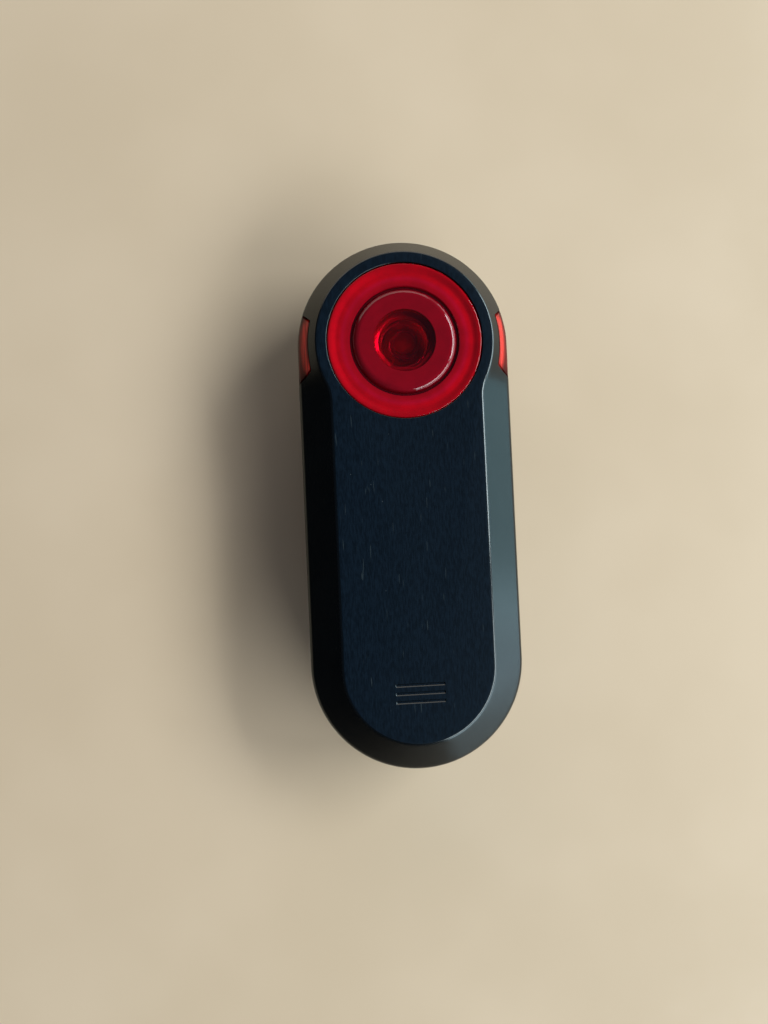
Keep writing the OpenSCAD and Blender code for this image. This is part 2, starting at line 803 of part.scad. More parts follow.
module main_led() {
  color(led_yellow) at_lens(led_top_z) {
    block([led_base, led_base, led_base_h], 0, 0, 0);
    translate([0, 0, led_base_h]) intersection() {
      sphere(led_dome_r);
      block([2 * led_dome_r, 2 * led_dome_r, 2 * led_dome_r], 0, 0, -led_base_h / 2);
    }
  }
}

module ring_leds() {
  color(led_yellow) at_lens(led_top_z) at_ring_leds() block(small_led, 0, 0, 0);
}

module side_leds() {
  color(led_yellow) at_lens(led_top_z) for (angle = [0, 180])
    at_polar([side_tab_r - side_led[0] / 2 - touch_gap, angle]) block(side_led, 0, 0, 0);
}

module power_button() {
  color(black_rubber) {
    intersection() {
      slot_y(key_z, key_w, key_h, key_head_y, body_l / 2);
      key_surface(key_proud);
    }
    difference() {
      rod_y(0, key_z, stem_r, stem_end_y, key_head_y + stem_joint);
      rod_groove(key_z, stem_r - seal_ring_d, seal_ring_y, seal_groove);
      rod_groove(key_z, stem_r - clip_bite - slide_gap, clip_y + clip_t / 2, clip_t + 2 * slide_gap);
    }
  }
}

module button_oring() {
  color(black_rubber) translate([0, seal_ring_y, key_z]) rotate([90, 0, 0])
    rotate_extrude() translate([stem_r + slide_gap / 2 - seal_ring_d / 2, 0]) circle(d = seal_ring_d);
}

module button_clip() {
  color(steel) difference() {
    rod_y(0, key_z, stem_r + clip_rim, clip_y, clip_y + clip_t);
    rod_y(0, key_z, stem_r - clip_bite, clip_y - cut, clip_y + cut);
    box(-stem_r / 2, stem_r / 2, clip_y - cut, clip_y + cut, key_z - 2 * stem_r, key_z);
  }
}

module switch_plunger() {
  start_y = switch_front_y - plunger_depth + key_travel + touch_gap;
  color(white_plastic) rod_y(0, key_z, plunger_r, start_y, stem_end_y);
}

module tact_switch() {
  color(chip_black) difference() {
    block([switch_w, switch_l, switch_h], 0, switch_front_y - switch_l / 2, led_under_z - switch_h);
    rod_y(0, key_z, plunger_r + slide_gap, switch_front_y - plunger_depth, switch_front_y + cut);
  }
}

module status_led() {
  size = status_led_size;
  color(led_yellow) block(size, pipe_x, pipe_end_y - fit_gap - size[1] / 2, led_under_z - size[2]);
}

module status_light_pipe() {
  color(clear_plastic, 0.6) intersection() {
    rod_y(pipe_x, key_z, pipe_r, pipe_end_y, body_l / 2);
    key_surface(0);
  }
}

// Room in a board for the bosses of the shells and for its own screws
module board_cuts(z) {
  posts(boss_xys, boss_r + board_gap, z - cut, z + board_t + cut);
  posts(board_screw_xys, hole_r, z - cut, z + board_t + cut);
}

module main_board() {
  half = main_board_w / 2;
  color(board_green) difference() {
    union() {
      box(-half, half, tail_y, boards_end_y, main_z, main_top_z);
      posts([[0, tail_y]], half, main_z, main_top_z);
    }
    board_cuts(main_z);
  }
}

// Two flat chips under the radar shield and a taller one at the tail
module main_chips() {
  color(chip_black) {
    for (side = [-1, 1])
      block([chip_l, chip_l, chip_h], side * (chip_l / 2 + fit_gap), shield_y, main_top_z);
    block([2 * chip_l, chip_l / 2, tall_chip_h], 0, radar_start_y - chip_l / 2, main_top_z);
  }
}

module usb_port() {
  depth = main_z - usb_mouth_z;
  inner = [usb_w - 2 * usb_shell, usb_t - 2 * usb_shell, depth + cut];
  tongue = [usb_tongue_w, usb_tongue_t, depth - usb_tongue_t];
  color(steel) difference() {
    block([usb_w, usb_t, depth], 0, port_y, usb_mouth_z);
    block(inner, 0, port_y, usb_mouth_z - cut - usb_shell);
  }
  color(chip_black) block(tongue, 0, port_y, usb_mouth_z + usb_tongue_t);
}

module radar_board() {
  half = radar_board_w / 2;
  color(board_green) difference() {
    box(-half, half, radar_start_y, boards_end_y, radar_z, radar_top_z);
    board_cuts(radar_z);
  }
}

// Two rows of square patches, one row to send and one to receive
module antenna_patches() {
  first_y = (radar_start_y + boards_end_y - (patch_count - 1) * patch_pitch) / 2;
  color(copper) for (side = [-1, 1], i = [0:patch_count - 1])
    block([patch, patch, patch_t], side * patch_row_x, first_y + i * patch_pitch, radar_top_z);
}

module radar_shield() {
  color(steel) difference() {
    block([shield_w, shield_l, shield_h], 0, shield_y, radar_z - shield_h);
    block([shield_w - 2 * shield_skin, shield_l - 2 * shield_skin, shield_h], 0, shield_y,
      radar_z - shield_h + shield_skin);
  }
}

module radar_chip() {
  color(chip_black) block([radar_chip_w, radar_chip_w, radar_chip_h], 0, shield_y, radar_z - radar_chip_h);
}

module board_connector() {
  y = connector_end_y - connector_l / 2;
  color(chip_black) block([connector_w, connector_l, spacer_h], 0, y, main_top_z);
}

module board_spacers() {
  color(steel) difference() {
    posts(board_screw_xys, spacer_r, main_top_z, radar_z);
    posts(board_screw_xys, hole_r, main_top_z - cut, radar_z + cut);
  }
}

module board_screws() {
  color(steel) for (p = board_screw_xys) translate([p[0], p[1], main_z - head_h])
    screw(head_d, screw_d, board_pilot_top_z - main_z - head_gap);
}

module battery() {
  color("#7d8790") translate([0, (battery_start_y + battery_end_y) / 2, battery_z])
    rounded_plate(battery_w, battery_end_y - battery_start_y, battery_top_z - battery_z, battery_round);
}

module battery_pad() {
  color("#4a4d50") block([foam_w, foam_l, foam_t], 0, battery_end_y - foam_l / 2 - board_gap, pad_top_z);
}

module battery_tabs() {
  color(copper) for (side = [-1, 1])
    block([battery_tab_w, battery_tab_t, main_z - battery_top_z + battery_tab_drop], side * battery_tab_x,
      battery_start_y - battery_tab_t / 2, battery_top_z - battery_tab_drop);
}

// Flat cable from under the LED board to under the main board
module led_flex() {
  led_end = lens_y - led_board_r / 2;
  led_bend = lens_y - led_board_r - board_gap;
  board_bend = boards_end_y + fit_gap;
  board_end = boards_end_y - flex_pad;
  color("#c9772c") translate([flex_x, 0, 0]) rotate([90, 0, 90]) linear_extrude(flex_w) polygon([
    [led_end, led_under_z], [led_bend, led_under_z], [board_bend, main_z], [board_end, main_z],
    [board_end, main_z - flex_t], [board_bend, main_z - flex_t],
    [led_bend, led_under_z - flex_t], [led_end, led_under_z - flex_t]]);
}

// Rubber flap with a plug for the port and a bead along its hinge line
module port_cap() {
  color(black_rubber) {
    translate([0, hinge_y - cap_l / 2, back_z]) rounded_plate(cap_w, cap_l, cap_t, cap_round - cap_gap);
    translate([0, port_y, back_z + cap_t / 2])
      rounded_plate(plug_w, plug_l, cap_t / 2 + plug_h, cap_round - plug_gap);
    translate([-hinge_bead_l / 2, hinge_y, back_z])
      rotate([0, 90, 0]) cylinder(r = hinge_bead_r, h = hinge_bead_l);
  }
}

module port_cap_anchor() {
  color(black_rubber) {
    translate([0, (anchor_y + anchor_end_y) / 2, back_z])
      rounded_plate(cap_w, anchor_l, cap_roof_z - back_z, anchor_l / 2 - touch_gap);
    posts(anchor_pin_xys, anchor_pin_r, back_z, cap_roof_z + anchor_pin_h);
  }
}

// Boss with two bayonet tabs at its end and a spigot that centres it on the back
module mount_insert() {
  tab_r = tab_span / 2;
  color(black_shell) difference() {
    union() {
      cylinder(r = mount_r, h = mount_h);
      cylinder(r = spigot_r, h = mount_h + spigot_h);
      intersection() {
        rotate_extrude() polygon([[0, 0], [tab_r - tab_chamfer, 0], [tab_r, tab_chamfer],
          [tab_r, tab_t - tab_chamfer], [tab_r - tab_chamfer, tab_t], [0, tab_t]]);
        block([tab_span, tab_w, mount_h], 0, 0, 0);
      }
    }
    posts(mount_screw_xys, bore_head_r, -cut, mount_seat_z);
    posts(mount_screw_xys, hole_r, 0, mount_h + cut);
  }
}

module mount_screws() {
  length = mount_bite_z - fit_gap - mount_seat_z;
  color(steel) for (p = mount_screw_xys)
    translate([p[0], p[1], mount_seat_z - head_h]) screw(head_d, screw_d, length);
}

front_housing();
rear_housing();
housing_gasket();
housing_screws();
main_lens();
lens_gasket();
side_lens_left();
side_lens_right();
reflector();
collimator_lens();
led_board();
led_board_screws();
main_led();
ring_leds();
side_leds();
power_button();
button_oring();
button_clip();
switch_plunger();
tact_switch();
status_led();
status_light_pipe();
main_board();
main_chips();
usb_port();
radar_board();
antenna_patches();
radar_shield();
radar_chip();
board_connector();
board_spacers();
board_screws();
battery();
battery_pad();
battery_tabs();
led_flex();
port_cap();
port_cap_anchor();
mount_insert();
mount_screws();
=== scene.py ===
"""Bicycle rear light on a pale table: a finer shell, lens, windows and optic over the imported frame.

Shapes are worked out in millimetres and made in metres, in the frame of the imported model.
"""
import json
import math

import bmesh
import bpy
from mathutils import Euler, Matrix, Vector


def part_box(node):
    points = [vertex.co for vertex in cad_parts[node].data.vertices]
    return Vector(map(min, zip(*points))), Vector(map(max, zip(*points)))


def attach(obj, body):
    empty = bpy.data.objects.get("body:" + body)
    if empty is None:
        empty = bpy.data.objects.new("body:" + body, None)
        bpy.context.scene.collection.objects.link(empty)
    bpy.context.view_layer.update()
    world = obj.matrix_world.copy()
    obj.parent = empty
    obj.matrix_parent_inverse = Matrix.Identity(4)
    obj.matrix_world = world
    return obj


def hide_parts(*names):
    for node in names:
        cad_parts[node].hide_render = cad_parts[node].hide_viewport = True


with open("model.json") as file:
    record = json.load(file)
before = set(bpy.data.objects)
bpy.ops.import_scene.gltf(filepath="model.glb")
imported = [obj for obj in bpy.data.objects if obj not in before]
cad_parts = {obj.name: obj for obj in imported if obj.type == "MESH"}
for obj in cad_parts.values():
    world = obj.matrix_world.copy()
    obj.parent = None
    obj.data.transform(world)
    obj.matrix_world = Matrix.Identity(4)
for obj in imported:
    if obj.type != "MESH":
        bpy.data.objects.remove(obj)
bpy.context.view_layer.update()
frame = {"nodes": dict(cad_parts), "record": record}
MM = 0.001


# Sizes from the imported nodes

def box_mm(node):
    """Lowest and highest corner of a node in millimetres."""
    low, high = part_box(node)
    return low / MM, high / MM


shell_low, shell_high = box_mm("front_housing")
lens_low, lens_high = box_mm("main_lens")
optic_low, optic_high = box_mm("collimator_lens")
key_low, key_high = box_mm("power_button")
pipe_low, pipe_high = box_mm("status_light_pipe")
bowl_z = box_mm("reflector")[0].z

half_w = shell_high.x
front_z = shell_high.z
seam_z = shell_low.z
lens_y = shell_high.y - half_w
tail_y = -lens_y
span = lens_y - tail_y
flange_r = lens_high.x
flange_z = lens_low.z

# Sizes repeated from the part's source
wall = 1.6
gap = 0.15
slide_gap = 0.05
flange_out = 0.9
ring_width = 2.1
panel_step = 2.5
neck_r = 7.8
edge_r = 0.25
lens_recess = 0.9
shoulder_drop = 4.4
bevel_part = 0.75
flank_rise = 4.2
pocket_depth = 1.9
block_depth = 1.5

lens_r = flange_r - flange_out
ring_r = lens_r + ring_width
panel_hw = ring_r - panel_step
under_z = front_z - wall
rim_z = front_z - lens_recess
shoulder_z = front_z - shoulder_drop
cavity_shoulder_z = shoulder_z - wall / 2
flank_z = seam_z + flank_rise
pocket_y = shell_high.y - pocket_depth
block_y = pocket_y - block_depth
key_z = (key_low.z + key_high.z) / 2

# How far a cutter runs past what it cuts
cut = 1

# Part of the solid's round at the flank that the finer shell keeps
round_part = 0.45

# Radii and heights of the finer lens, and the mouth of the cup under it
clear_r = 5.65
centre_r = 9.6
lens_ring_r = centre_r + 0.45
lens_ring_z = front_z - 0.5
lens_edge = lens_r + gap - slide_gap
cup_r = 5.6

# Steps on a half circle and on the rounds
ARC_STEPS = 96
EDGE_STEPS = 8
ROUND_STEPS = 24
CAVITY_STEPS = 14


# Mesh helpers

def make_object(name, points, faces):
    """Object from points in millimetres and faces as lists of point numbers."""
    mesh = bpy.data.meshes.new(name)
    mesh.from_pydata([Vector(p) * MM for p in points], [], faces)
    made = bpy.data.objects.new(name, mesh)
    bpy.context.scene.collection.objects.link(made)
    return made


def skin(name, rings, closed=False):
    """Solid skinned over rings of points, with flat ends; a closed one returns to its first ring instead."""
    count = len(rings[0])
    last = len(rings) - 1
    faces = []
    for k in range(last + 1 if closed else last):
        for i in range(count):
            j = (i + 1) % count
            a, b = k * count, (k + 1) % (last + 1) * count
            faces.append([a + i, b + i, b + j, a + j])
    if not closed:
        faces.append(list(range(count)))
        faces.append([last * count + i for i in reversed(range(count))])
    return make_object(name, [p for ring in rings for p in ring], faces)


def lathe(name, profile, steps=256):
    """Solid turned about the lens axis from a profile of (radius, height), closed or ending on the axis."""
    points, rings = [], []
    for r, z in profile:
        count = steps if r > 0 else 1
        start = len(points)
        for i in range(count):
            a = 2 * math.pi * i / steps
            points.append((r * math.cos(a), lens_y + r * math.sin(a), z))
        rings.append([start + i % count for i in range(steps)])
    faces = []
    for upper, lower in zip(rings, rings[1:] + rings[:1]):
        for i in range(steps):
            j = (i + 1) % steps
            face = [upper[i], lower[i], lower[j], upper[j]]
            face = [p for n, p in enumerate(face) if p not in face[:n]]
            if len(face) > 2:
                faces.append(face)
    return make_object(name, points, faces)


def prism(name, outline, place, start, end):
    """Solid between two copies of a flat outline; place turns an outline point and a depth into a point."""
    return skin(name, [[place(p, depth) for p in outline] for depth in (start, end)])


def face_outwards(piece):
    """Turns every closed part of a mesh so that its faces point out."""
    work = bmesh.new()
    work.from_mesh(piece.data)
    bmesh.ops.recalc_face_normals(work, faces=work.faces)
    work.to_mesh(piece.data)
    work.free()


def carve(piece, tools, operation="DIFFERENCE"):
    """Takes the tools away from a piece, or keeps what they share, and removes the tools."""
    for part in [piece] + tools:
        face_outwards(part)
    for tool in tools:
        modifier = piece.modifiers.new("carve", "BOOLEAN")
        modifier.object = tool
        modifier.operation = operation
        modifier.solver = "MANIFOLD"
    bpy.context.view_layer.update()
    shape = bpy.data.meshes.new_from_object(piece.evaluated_get(bpy.context.evaluated_depsgraph_get()))
    piece.modifiers.clear()
    piece.data = shape
    for tool in tools:
        bpy.data.objects.remove(tool)
    return piece


def dress(piece, node, materials, crease=32):
    """Finishes a new piece: smooth faces and materials, puts it on the light's body and hides the node that
    it stands for.
    """
    face_outwards(piece)
    piece.data.shade_smooth()
    piece.data.set_sharp_from_angle(angle=math.radians(crease))
    piece.data.materials.clear()
    for material in materials:
        piece.data.materials.append(material)
    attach(piece, "light")
    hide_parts(node)
    return piece


def arc(centre, r, start, end, steps):
    """Points on a circle from one angle to another, in degrees."""
    angles = [math.radians(start + (end - start) * i / steps) for i in range(steps + 1)]
    return [(centre[0] + r * math.cos(a), centre[1] + r * math.sin(a)) for a in angles]


def spread(start, end, steps):
    """Even steps from start to end, without the start."""
    return [start + (end - start) * i / steps for i in range(1, steps + 1)]


def rounded(corners, r, steps=8):
    """Flat outline with its corners rounded to radius r; the corners run anticlockwise."""
    outline = []
    for i, corner in enumerate(corners):
        p = Vector(corner)
        u = (Vector(corners[i - 1]) - p).normalized()
        v = (Vector(corners[(i + 1) % len(corners)]) - p).normalized()
        half = u.angle(v) / 2
        centre = p + (u + v).normalized() * r / math.sin(half)
        first = p + u * r / math.tan(half) - centre
        start = math.degrees(math.atan2(first.y, first.x))
        outline += arc(centre, r, start, start + 180 - 2 * math.degrees(half), steps)
    return outline


def lens_distance(point):
    """Distance of a point in metres from the lens axis, in millimetres."""
    return math.hypot(point.x / MM, point.y / MM - lens_y)


# Outlines of the panel and the flank, with matching points

neck_d = math.sqrt((ring_r + neck_r) ** 2 - (panel_hw + neck_r) ** 2)
ring_end = neck_d * ring_r / (ring_r + neck_r)
side_steps = spread(0, ring_end, 10) + spread(ring_end, neck_d, 20) + spread(neck_d, span, 10)[:-1]


def panel_x(d, inset):
    """Half-width of the panel at distance d below the lens centre."""
    if d < neck_d * (ring_r - inset) / (ring_r + neck_r):
        return math.sqrt((ring_r - inset) ** 2 - d * d)
    if d < neck_d:
        return panel_hw + neck_r - math.sqrt((neck_r + inset) ** 2 - (neck_d - d) ** 2)
    return panel_hw - inset


def outline(end_r, tail_r, side_x, z):
    """Level ring: half circle at the lens, left side, half circle at the tail, right side."""
    flat = arc((0, lens_y), end_r, 0, 180, ARC_STEPS)
    flat += [(-side_x(d), lens_y - d) for d in side_steps]
    flat += arc((0, tail_y), tail_r, 180, 360, ARC_STEPS)
    flat += [(side_x(d), lens_y - d) for d in reversed(side_steps)]
    return [Vector((x, y, z)) for x, y in flat]


def panel_ring(inset, z):
    """Outline of the panel, drawn in by inset."""
    return outline(ring_r - inset, panel_hw - inset, lambda d: panel_x(d, inset), z)


def flank_ring(inset, z):
    """Outline of the flank, drawn in by inset."""
    return outline(half_w - inset, half_w - inset, lambda d: half_w - inset, z)


def part_ring(a, b, part):
    """Ring at a part of the way from ring a to ring b."""
    return [p.lerp(q, part) for p, q in zip(a, b)]


def bezier_ring(a, b, c, t):
    """Ring on the parabola from ring a, with control ring b, to ring c."""
    return [(1 - t) ** 2 * p + 2 * t * (1 - t) * q + t * t * r for p, q, r in zip(a, b, c)]


def round_rings(start, corner, end, steps):
    """Rings that round a corner ring off, from a start ring to an end ring."""
    return [bezier_ring(start, corner, end, i / steps) for i in range(steps + 1)]


# Shapes of the front shell

def outer_form(name, inset=0):
    """Outside of the front shell: rounded panel edge, straight slope, tight round and chamfered seam."""
    chamfer = 0.15
    panel, corner = panel_ring(inset, front_z), flank_ring(inset, shoulder_z)
    crown = panel_ring(inset + edge_r, front_z)
    start = part_ring(panel, corner, edge_r / shoulder_drop)
    bevel = part_ring(corner, panel, round_part * (1 - bevel_part))
    foot = part_ring(corner, flank_ring(inset, flank_z), round_part)
    edge = round_rings(crown, panel, start, EDGE_STEPS)
    straight = [part_ring(start, bevel, part) for part in (0.1, 0.4, 0.7, 0.9)]
    slope = round_rings(bevel, corner, foot, ROUND_STEPS)
    flank = [flank_ring(inset, flank_z), flank_ring(inset, seam_z + chamfer)]
    seam = [flank_ring(inset + chamfer, seam_z)]
    return skin(name, [panel_ring(inset + 2 * edge_r, front_z)] + edge + straight + slope + flank + seam)


def cavity_form(name):
    """Hollow of the front shell, run on below the seam."""
    panel, corner = panel_ring(wall / 2, under_z), flank_ring(wall, cavity_shoulder_z)
    bevel = part_ring(panel, corner, bevel_part)
    slope = round_rings(bevel, corner, flank_ring(wall, flank_z), CAVITY_STEPS)
    return skin(name, [panel] + slope + [flank_ring(wall, seam_z - cut)])


def key_hollow():
    """Hollow of the shell, less the block behind the key."""
    side = 0.9
    x, top = (key_high.x - key_low.x) / 2 + side, key_high.z + side
    block = [(-x, block_y), (x, block_y), (x, shell_high.y), (-x, shell_high.y)]
    tool = prism("key_block", block, lambda p, z: (p[0], p[1], z), seam_z - 2 * cut, top)
    return carve(cavity_form("cavity"), [tool])


def lens_bore():
    """Cutter for the lens opening, with a rounded lip."""
    r, lip, end_z = lens_r + gap, 0.12, under_z - 0.1
    top = [(0, front_z + cut), (r + lip, front_z + cut)]
    lip_round = arc((r + lip, front_z - lip), lip, 90, 180, EDGE_STEPS)
    return lathe("lens_bore", top + lip_round + [(r, end_z), (0, end_z)])


def window_bar(side, end_gap, top_gap):
    """Side window as a bar through the flank: a foot, slanted ends and a shorter top."""
    foot_half, top_half, foot_rise, top_drop, corner_r = 9.1, 4.6, 3, 1.7, 0.7
    foot, top = foot_half - end_gap, top_half - end_gap
    foot_z, top_z = seam_z + foot_rise + end_gap, front_z - top_drop - top_gap
    flat = rounded([(-foot, foot_z), (foot, foot_z), (top, top_z), (-top, top_z)], corner_r)
    return prism("window_bar", flat, lambda p, x: (side * x, lens_y + p[0], p[1]), flange_r, half_w + cut)


def slot_outline(w, h, z, steps=24):
    """Upright outline of a bar with round ends."""
    x = (w - h) / 2
    return arc((x, z), h / 2, -90, 90, steps) + arc((-x, z), h / 2, 90, 270, steps)


def rod(name, centre, r, y0, y1, steps=48):
    """Round bar along Y."""
    flat = arc(centre, r, 0, 360 - 360 / steps, steps - 1)
    return prism(name, flat, lambda p, y: (p[0], y, p[1]), y0, y1)


def key_tools():
    """Cutters for the key's pocket and stem, and for the lamp beside it."""
    stem_r = 1.55
    slot = slot_outline(key_high.x - key_low.x + 2 * gap, key_high.z - key_low.z + 2 * gap, key_z)
    pocket = prism("key_pocket", slot, lambda p, y: (p[0], y, p[1]), pocket_y, shell_high.y + cut)
    stem = rod("stem_bore", (0, key_z), stem_r, block_y - cut, pocket_y + cut / 2)
    lamp_at = ((pipe_low.x + pipe_high.x) / 2, (pipe_low.z + pipe_high.z) / 2)
    lamp_r = (pipe_high.x - pipe_low.x) / 2 + slide_gap
    return [pocket, stem, rod("lamp_hole", lamp_at, lamp_r, pipe_low.y, shell_high.y + cut)]


def panel_bar(shift):
    """Short plain bar with sloping sides, to sink into the panel near the tail."""
    half_l, half_b, depth, slant, corner_r = 4.5, 0.3, 0.16, 0.16, 0.2
    bar_y = tail_y - half_l + shift

    def ring(grow, z):
        """Outline of the bar at height z, grown on all sides."""
        x, y = half_l + grow, half_b + grow
        flat = rounded([(-x, -y), (x, -y), (x, y), (-x, y)], min(corner_r, 0.9 * y))
        return [(p[0], bar_y + p[1], z) for p in flat]

    return skin("panel_bar", [ring(0, front_z + cut), ring(0, front_z), ring(-slant, front_z - depth)])


def front_shell(material):
    """Front shell with its lens opening, windows, key pocket, lamp hole and sunk bars."""
    bar_pitch = 1.5
    windows = [window_bar(1, 0, 0), window_bar(-1, 0, 0)]
    bars = [panel_bar(i * bar_pitch) for i in (-1, 0, 1)]
    piece = carve(outer_form("front_shell"), [key_hollow(), lens_bore()] + windows + key_tools() + bars)
    return dress(piece, "front_housing", [material])


def side_window(side, material):
    """Red window set in the flank with a dark joint line round it."""
    end_gap, top_gap = 2.6 * gap, 1.6 * gap
    name, node = ("window_right", "side_lens_right") if side > 0 else ("window_left", "side_lens_left")
    piece = carve(outer_form(name, slide_gap), [cavity_form("hollow")])
    carve(piece, [window_bar(side, end_gap, top_gap)], "INTERSECT")
    return dress(piece, node, [material])


# Lens, reflector and optic

def raised_centre():
    """Profile of the lens's raised centre, its rounded edge and the groove up to the ring."""
    round_r, round_end = 1.4, 21
    round_start = centre_r - round_r
    groove_z = rim_z - 0.1
    profile = [(0, front_z), (clear_r, front_z), (round_start - 0.1, front_z)]
    profile += arc((round_start, front_z - round_r), round_r, 90, round_end, 20)
    profile += [(centre_r, groove_z), (lens_ring_r - 0.15, groove_z)]
    return profile + [(lens_ring_r - 0.08, lens_ring_z - 0.12)]


def lens_ring():
    """Profile of the ring round the centre: a slight swell, a rise and a rounded brim beside the opening."""
    swell, rise_r, rise, brim = 0.06, 12.4, 0.36, 0.35
    brim_r = lens_edge - brim
    swell_w, rise_w = rise_r - lens_ring_r, brim_r - rise_r
    profile = [(lens_ring_r, lens_ring_z)]
    for s in spread(0, 1, 16):
        profile.append((lens_ring_r + s * swell_w, lens_ring_z + swell * math.sin(math.pi * s)))
    for s in spread(0, 1, 12):
        profile.append((rise_r + s * rise_w, lens_ring_z + rise * s * s * (3 - 2 * s)))
    return profile + arc((brim_r, lens_ring_z + rise - brim), brim, 80, 0, EDGE_STEPS)


def lens_back():
    """Profile of the lens's flange and of its hollow back, up to the axis."""
    thick, skirt = 1.5, 0.6
    flange_top, skirt_r = under_z - 0.5, lens_r - skirt
    step_r, slant = 9.25, 0.8
    return [(lens_edge, flange_top), (flange_r, flange_top), (flange_r, flange_z), (skirt_r, flange_z),
            (skirt_r, rim_z - thick), (step_r, rim_z - thick), (step_r - slant, front_z - thick),
            (clear_r, front_z - thick), (0, front_z - thick)]


def red_lens(frosted, clear):
    """Lens with a raised centre, a groove and a rising ring; the middle of it is clear."""
    piece = lathe("lens", raised_centre() + lens_ring() + lens_back())
    dress(piece, "main_lens", [frosted, clear], crease=40)
    for face in piece.data.polygons:
        face.material_index = 1 if lens_distance(face.center) < clear_r else 0
    return piece


def cup_ring(r, z, steps=160):
    """Ring of the cup at radius r, with a flat below and one to each side of it."""
    # Bearing of each flat in degrees, and how far out it lies as a part of the radius
    flats = [(218, 0.93), (270, 0.94), (320, 0.97)]
    ring = []
    for i in range(steps):
        a = 2 * math.pi * i / steps
        reach = [r]
        for bearing, part in flats:
            facing = math.cos(a - math.radians(bearing))
            if facing > 0.5:
                reach.append(part * r / facing)
        ring.append((min(reach) * math.cos(a), lens_y + min(reach) * math.sin(a), z))
    return ring


def reflector_bowl(material):
    """White bowl round the cup."""
    hole_r, floor_z = cup_r + 0.65, bowl_z + 0.6
    lip_z, lip_r = flange_z - 1, flange_r - 0.3
    foot_r, side_r = lip_r - 1, lens_r - 1.1
    bowl = lathe("bowl", [
        (hole_r, bowl_z), (foot_r, bowl_z), (foot_r, lip_z), (lip_r, lip_z), (lip_r, flange_z),
        (side_r, flange_z), (side_r, flange_z - 0.5), (side_r - 2, floor_z), (hole_r, floor_z)], steps=128)
    return dress(bowl, "reflector", [material])


def reflector_cup(grey, bright):
    """Grey cup round the optic, with a metal funnel at its mouth that carries a painted highlight on its
    left, and a hole for the LED.
    """
    outer_r, hole_r, floor_z = cup_r + 0.6, 1.7, bowl_z + 0.4
    mouth_z = optic_high.z - 0.05
    funnel_z, funnel_r = mouth_z - 0.45, cup_r - 0.8
    cup = skin("cup", [
        cup_ring(outer_r, bowl_z), cup_ring(outer_r, mouth_z), cup_ring(cup_r, mouth_z),
        cup_ring(funnel_r, funnel_z), cup_ring(funnel_r - 0.05, floor_z),
        cup_ring(hole_r, floor_z), cup_ring(hole_r, bowl_z)], closed=True)
    dress(cup, "reflector", [grey, bright])
    for face in cup.data.polygons:
        in_funnel = funnel_z < face.center.z / MM < mouth_z and face.normal.z > 0.3
        face.material_index = 1 if in_funnel else 0
    return cup


def optic(clear, frosted):
    """Clear optic in the cup: a frosted, crowned eye in a dished top and a pocket over the LED."""
    step = 0.2
    top_z, foot_z = optic_high.z - 0.55, optic_low.z
    eye_r, eye_z, eye_fall = 2, top_z - 0.25, 0.005
    deck_z, bead, bead_r = top_z - 0.1, 0.2, 2.25
    deck_r, rim_r, foot_r = 3.9, 4.3, 2.5
    pocket_r, pocket_z, pocket_rise = 1.8, foot_z + 1.3, 0.04
    profile = [(0, eye_z)] + [(step * i, eye_z - eye_fall * i * i) for i in range(1, 10)]
    profile += [(eye_r, top_z - 0.7)] + arc((bead_r, deck_z), bead, 180, 90, 4)
    profile += [(deck_r, deck_z), (rim_r, deck_z - 0.05), (rim_r + 0.05, deck_z - 0.3)]
    profile += [(foot_r, foot_z), (pocket_r + 0.1, foot_z)]
    profile += [(pocket_r - step * i, pocket_z + pocket_rise * i) for i in range(9)] + [(0, pocket_z + 0.35)]
    piece = lathe("optic", profile, steps=128)
    dress(piece, "collimator_lens", [clear, frosted], crease=25)
    for face in piece.data.polygons:
        in_eye = lens_distance(face.center) < eye_r and face.center.z / MM > top_z - 1
        face.material_index = 1 if in_eye else 0
    return piece


# Node helpers

def feed(tree, socket, value):
    """Sets a socket, or links another node's socket to it."""
    if isinstance(value, bpy.types.NodeSocket):
        tree.links.new(value, socket)
    else:
        socket.default_value = value


def add(tree, kind, inputs=None, **settings):
    """New shader node with its settings and inputs."""
    made = tree.nodes.new("ShaderNode" + kind)
    for key, value in settings.items():
        setattr(made, key, value)
    for key, value in (inputs or {}).items():
        feed(tree, made.inputs[key], value)
    return made


def new_material(name, sockets):
    """Principled material; returns it with its tree and shader."""
    material = bpy.data.materials.new(name)
    material.use_nodes = True
    shader = material.node_tree.nodes["Principled BSDF"]
    for key, value in sockets.items():
        feed(material.node_tree, shader.inputs[key], value)
    return material, material.node_tree, shader


def object_place(tree):
    """Place on the piece, in metres."""
    return add(tree, "TexCoord").outputs["Object"]


def axis_of(tree, vector, axis):
    """One axis of a vector."""
    return add(tree, "SeparateXYZ", {"Vector": vector}).outputs[axis]


def noise(tree, size, stretch=(1, 1, 1), detail=2.0):
    """Noise whose features are about size millimetres, longer along an axis by its stretch."""
    scale = [1 / (size * MM * s) for s in stretch]
    moved = add(tree, "Mapping", {"Vector": object_place(tree), "Scale": scale}).outputs["Vector"]
    return add(tree, "TexNoise", {"Vector": moved, "Scale": 1.0, "Detail": detail}).outputs["Fac"]


def remap(tree, value, low, high, to_low=0.0, to_high=1.0):
    """Value carried from one range to another, eased in and out and held at its ends."""
    ends = {"Value": value, "From Min": low, "From Max": high, "To Min": to_low, "To Max": to_high}
    return add(tree, "MapRange", ends, interpolation_type="SMOOTHSTEP").outputs["Result"]


def even_noise(tree, size, low=0.0, high=1.0, stretch=(1, 1, 1), detail=2.0):
    """Noise that fills the range from low to high."""
    return remap(tree, noise(tree, size, stretch, detail), 0.3, 0.7, low, high)


def maths(tree, operation, a, b=0.0):
    """Result of a sum on one or two values."""
    return add(tree, "Math", {0: a, 1: b}, operation=operation).outputs["Value"]


